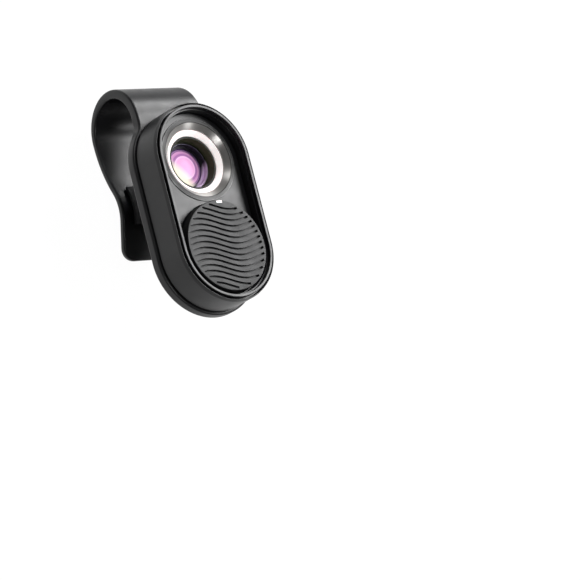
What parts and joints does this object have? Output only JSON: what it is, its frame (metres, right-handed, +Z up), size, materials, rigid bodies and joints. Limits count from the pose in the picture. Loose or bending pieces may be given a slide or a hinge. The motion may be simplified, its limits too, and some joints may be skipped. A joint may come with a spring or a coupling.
{
  "type": "clip-on phone microscope",
  "caption": "Clip-on microscope for a phone camera: a racetrack body with a lit lens, a round light button with wavy grooves, and a sprung clip that loops behind the phone.",
  "frame": {"origin": "Centre of the bounding box, on the surface the microscope rests on.", "axes": "+Z up, the way the lens looks; +Y along the body from the button to the clip's loop; +X towards the charging socket."},
  "size_m": [0.023, 0.0484, 0.0231],
  "materials": {
    "black_abs": "satin",
    "satin_black_abs": "satin",
    "turned_aluminium": "turned",
    "black_anodised_aluminium": "anodised",
    "opal_acrylic": "satin",
    "coated_glass": "polished and coated",
    "black_silicone": "matte",
    "solder_mask": "satin",
    "screw_steel": "satin",
    "battery_foil": "satin",
    "foam_tape": "matte",
    "red_lead": "satin",
    "led_package": "gloss"
  },
  "bodies": {
    "body": {"clip_and_back_plate": "black_abs", "main_housing": "black_abs", "front_bezel": "satin_black_abs", "reflector_ring": "turned_aluminium", "light_guide_ring": "opal_acrylic", "lens_barrel": "black_anodised_aluminium", "front_lens": "coated_glass", "lens_spacer": "black_anodised_aluminium", "rear_lens": "coated_glass", "lens_retaining_ring": "black_anodised_aluminium", "circuit_board": "solder_mask", "led_1": "led_package", "led_2": "led_package", "led_3": "led_package", "led_4": "led_package", "led_5": "led_package", "led_6": "led_package", "indicator_led": "led_package", "control_chip": "black_abs", "switch_body": "black_abs", "battery": "battery_foil", "battery_tape": "foam_tape", "battery_lead_positive": "red_lead", "battery_lead_negative": "black_abs", "charging_socket": "screw_steel", "screw_1": "screw_steel", "screw_2": "screw_steel", "screw_3": "screw_steel", "screw_4": "screw_steel", "clip_pad": "black_silicone", "phone_pad_ring": "black_silicone"},
    "button": {"light_button": "satin_black_abs", "switch_plunger": "satin_black_abs", "indicator_light_pipe": "opal_acrylic"}
  },
  "joints": [
    {"name": "button_press", "type": "slide", "parent": "body", "child": "button", "axis": [0, 0, -1], "range_m": [0, 0.0005], "stiffness_N_per_m": 800}
  ]
}
